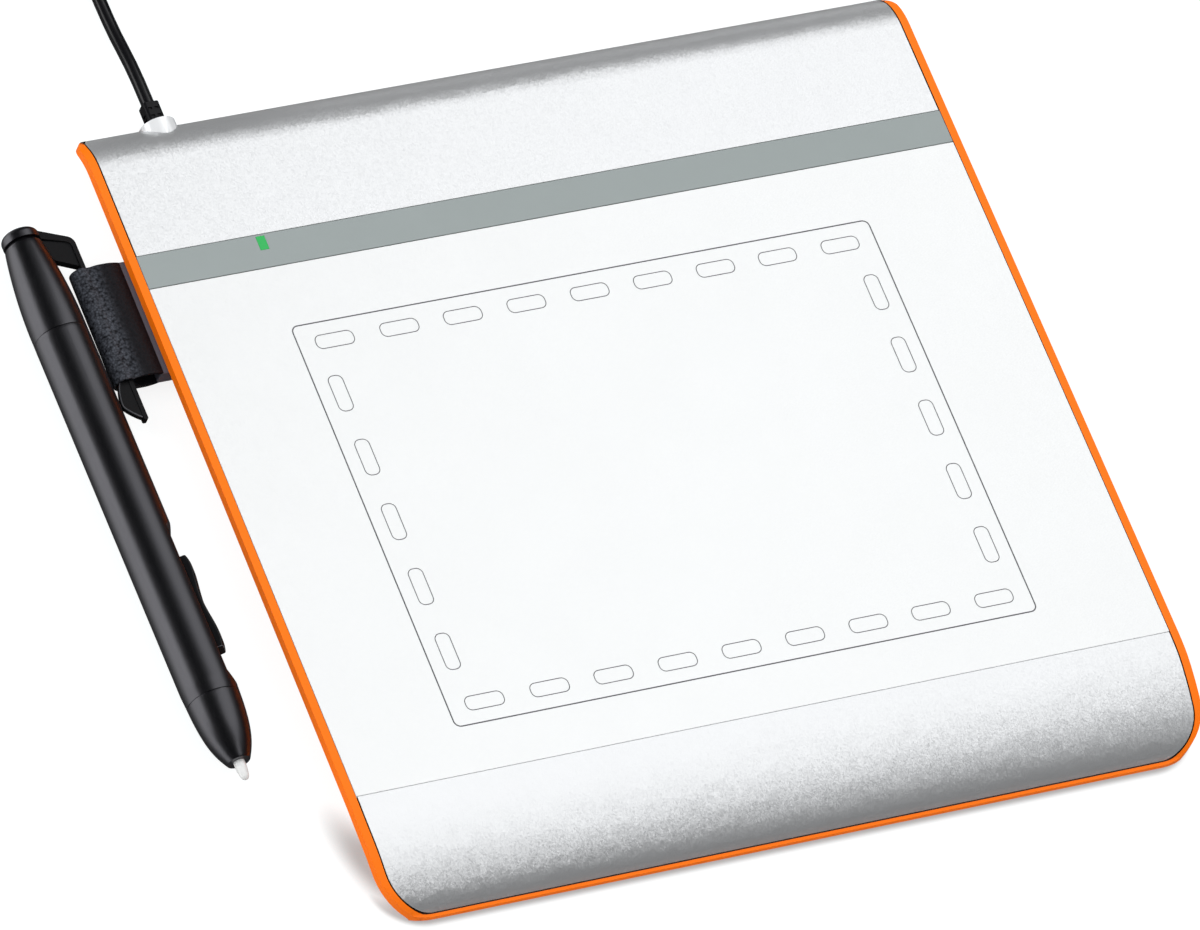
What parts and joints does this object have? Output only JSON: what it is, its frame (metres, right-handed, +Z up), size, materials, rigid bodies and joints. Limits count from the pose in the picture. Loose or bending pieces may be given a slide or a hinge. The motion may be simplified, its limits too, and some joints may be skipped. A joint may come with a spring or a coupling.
{
  "type": "graphics tablet",
  "caption": "Thin sloping pen tablet with a lifting drawing sheet, a clip-on pen in a side loop, and a coiled USB lead.",
  "frame": {"origin": "middle of the footprint of the tablet with its pen and lead outlet, on the table's surface", "axes": "+X to the user's right, +Y away from the user towards the lead, +Z up out of the drawing face"},
  "size_m": [0.2246, 0.303, 0.0158],
  "materials": {
    "tray_orange": "satin moulded plastic",
    "cover_silver": "metallic silver paint with a fine sparkle",
    "sheet_silver": "satin drawing film with printed marks",
    "strip_grey": "flat grey film",
    "lens_green": "clear green light pipe",
    "board_green": "lacquered circuit board",
    "chip_black": "moulded resin",
    "flat_cable_white": "laminated ribbon",
    "header_white": "nylon",
    "steel": "zinc plated",
    "foot_rubber": "moulded rubber",
    "relief_black": "moulded soft plastic",
    "cord_black": "smooth cord jacket",
    "pen_black": "soft satin black",
    "clip_black": "satin black",
    "switch_grey": "satin dark grey",
    "nib_white": "translucent hard plastic",
    "loop_black": "grained band",
    "bar_grey": "moulded dark grey",
    "ferrite_grey": "sintered",
    "copper": "enamelled winding wire",
    "cell_jacket": "plain printed metal jacket",
    "plug_black": "moulded soft plastic",
    "plug_nickel": "nickel plated steel",
    "tongue_white": "moulded insert",
    "gold": "gold plated"
  },
  "bodies": {
    "case": {"base_tray": "tray_orange", "top_cover": "cover_silver", "overlay_strip": "strip_grey", "led_light_pipe": "lens_green", "status_led": "lens_green", "sensor_board": "board_green", "shield_plate": "steel", "sensor_flat_cable": "flat_cable_white", "flat_cable_connector": "header_white", "controller_board": "board_green", "controller_chip": "chip_black", "lead_header": "header_white", "internal_lead": "cord_black", "board_screws": "steel", "case_screws": "steel", "rubber_feet": "foot_rubber", "strain_relief": "relief_black", "holder_loop": "loop_black", "holder_bar": "bar_grey", "clamp_screws": "steel", "usb_cord": "cord_black", "usb_coil": "cord_black", "usb_tail": "cord_black", "cord_tie": "relief_black", "plug_overmould": "plug_black", "plug_shell": "plug_nickel", "plug_tongue": "tongue_white", "plug_contacts": "gold"},
    "sheet": {"overlay_sheet": "sheet_silver"},
    "pen_cap": {"cap_sleeve": "pen_black", "clip_crown": "clip_black", "battery_spring": "steel"},
    "pen_barrel": {"pen_barrel": "pen_black", "nose_cone": "pen_black", "pen_board": "board_green", "push_switches": "chip_black", "battery_cell": "cell_jacket", "battery_contact": "steel", "ferrite_core": "ferrite_grey", "antenna_winding": "copper", "pressure_sensor": "chip_black"},
    "side_switch": {"side_switch": "switch_grey"},
    "pen_nib": {"pen_nib": "nib_white"}
  },
  "joints": [
    {"name": "pen_slide", "type": "slide", "parent": "case", "child": "pen_cap", "axis": [-0.0127, 0.9999, 0], "range_m": [0, 0.045]},
    {"name": "barrel_pull", "type": "slide", "parent": "pen_cap", "child": "pen_barrel", "axis": [0.0127, -0.9999, 0], "range_m": [0, 0.02]},
    {"name": "side_switch_rock", "type": "hinge", "parent": "pen_barrel", "child": "side_switch", "pos_m": [-0.10133, -0.02185, 0.00797], "axis": [-0.4226, -0.0054, 0.9063], "range_deg": [-2.2, 2.2], "stiffness_Nm_per_rad": 0.35},
    {"name": "nib_press", "type": "slide", "parent": "pen_barrel", "child": "pen_nib", "axis": [-0.0127, 0.9999, 0], "range_m": [0, 0.0008], "stiffness_N_per_m": 600},
    {"name": "sheet_lift", "type": "hinge", "parent": "case", "child": "sheet", "pos_m": [0.01275, 0.0537, 0.01095], "axis": [-1, 0, 0], "range_deg": [0, 60]}
  ]
}
